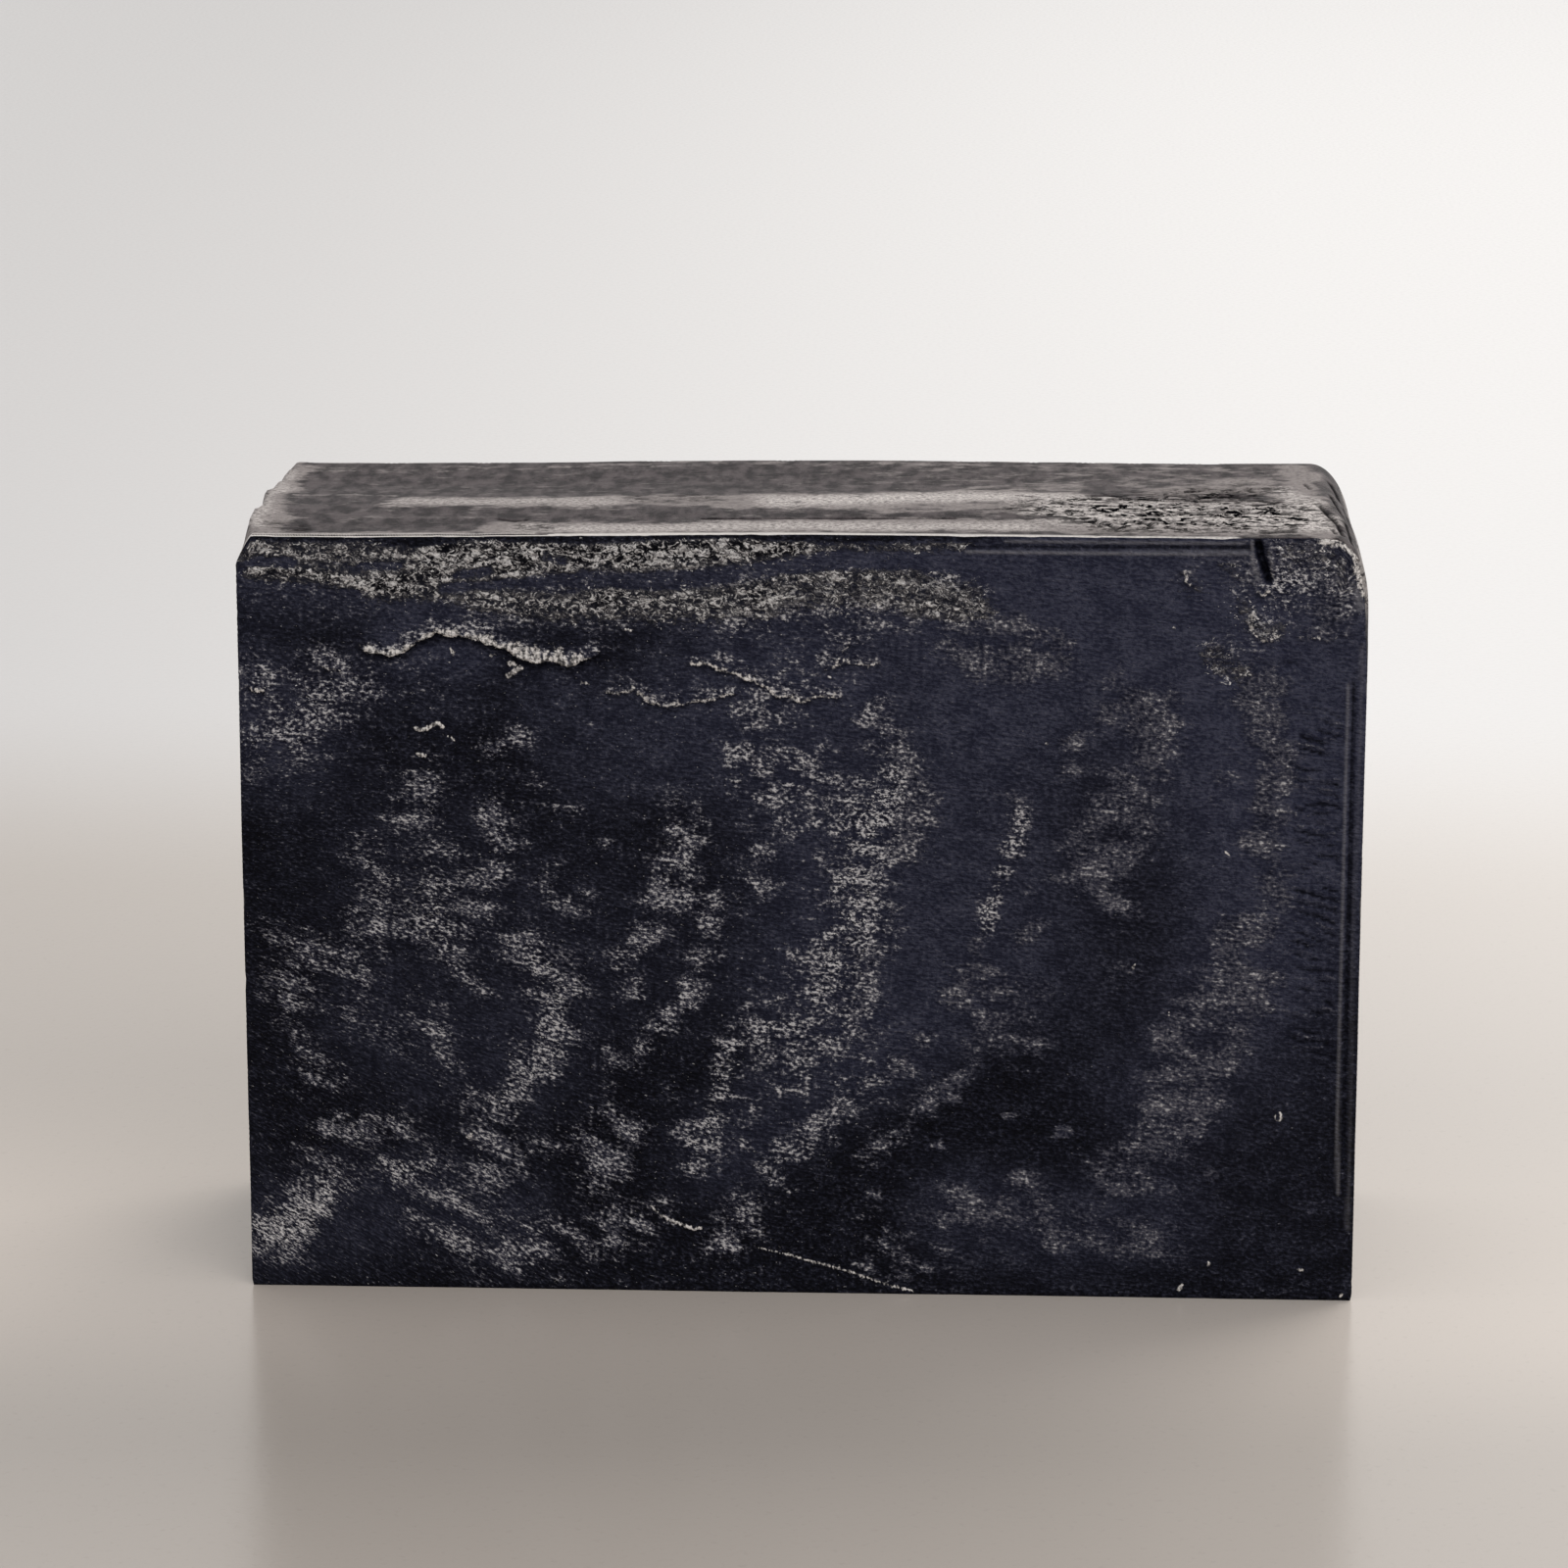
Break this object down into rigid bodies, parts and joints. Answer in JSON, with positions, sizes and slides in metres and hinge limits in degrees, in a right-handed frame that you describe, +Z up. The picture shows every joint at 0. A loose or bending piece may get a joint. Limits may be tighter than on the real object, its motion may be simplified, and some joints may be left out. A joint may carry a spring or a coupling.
{
  "type": "soap bar",
  "caption": "Rectangular hand-cut bar of black charcoal soap standing on its long edge, with sharp cut faces and a worn top edge.",
  "frame": {"origin": "centre of the bounding box at the underside, the narrow face the bar stands on", "axes": "+X along the bar's length, -Y out of the front cut face, +Z up from the mould-floor face to the loaf's open face"},
  "size_m": [0.089, 0.028, 0.063],
  "materials": {
    "charcoal_soap": "waxy satin, speckled with pale grey grains"
  },
  "bodies": {
    "root": {"soap_bar": "charcoal_soap"}
  },
  "joints": []
}
